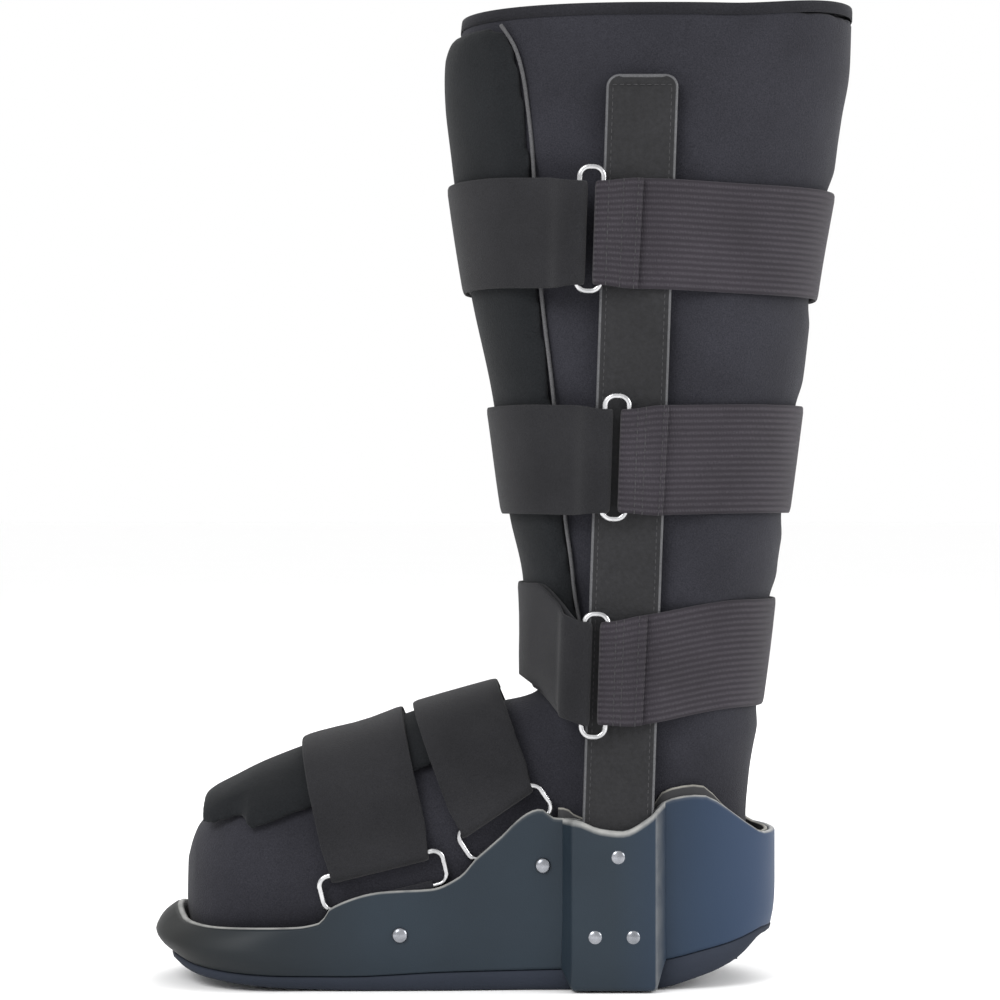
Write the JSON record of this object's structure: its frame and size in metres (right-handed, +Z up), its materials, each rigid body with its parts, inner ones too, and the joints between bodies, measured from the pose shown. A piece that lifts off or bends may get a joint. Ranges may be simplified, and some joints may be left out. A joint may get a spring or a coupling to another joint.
{
  "type": "medical walking boot",
  "caption": "Tall walking boot for an injured foot: padded bootie in a plastic shell with rocker sole, side uprights and ringed hook-and-loop straps.",
  "frame": {"origin": "on the flat of the sole, under the middle of the foot", "axes": "+Z up along the leg, the toe towards -X, the outer (lateral) side with the rings towards -Y"},
  "size_m": [0.3309, 0.1509, 0.4564],
  "materials": {
    "shell": "fine moulded grain, satin",
    "sole": "matt",
    "counter": "matt",
    "cover": "smooth coated cloth, satin",
    "liner": "brushed loop cloth over foam",
    "binding": "woven tape",
    "padding": "brushed loop cloth over foam",
    "piping": "woven cord edge",
    "loop": "loop-faced strap",
    "webbing": "ribbed woven webbing",
    "wire": "nickel plated wire",
    "rivet": "nickel plated"
  },
  "bodies": {
    "root": {"shell": "shell", "outsole": "sole", "inner_counter": "counter", "upright_lateral": "cover", "upright_medial": "cover", "liner": "liner", "top_binding": "binding", "shin_flap": "padding", "shin_piping_lateral": "piping", "shin_piping_medial": "piping", "foot_flap": "padding", "strap_front_1": "loop", "strap_rear_1": "webbing", "ring_1": "wire", "strap_front_2": "loop", "strap_rear_2": "webbing", "ring_2": "wire", "strap_front_3": "loop", "strap_rear_3": "webbing", "ring_3": "wire", "foot_strap_1": "loop", "ring_4": "wire", "ring_tab_1": "webbing", "foot_strap_2": "loop", "ring_5": "wire", "ring_tab_2": "webbing", "rivet_lateral_1": "rivet", "rivet_lateral_2": "rivet", "rivet_lateral_3": "rivet", "rivet_lateral_4": "rivet", "rivet_lateral_5": "rivet", "rivet_medial_1": "rivet", "rivet_medial_2": "rivet", "rivet_medial_3": "rivet", "rivet_medial_4": "rivet", "rivet_medial_5": "rivet"}
  },
  "joints": []
}
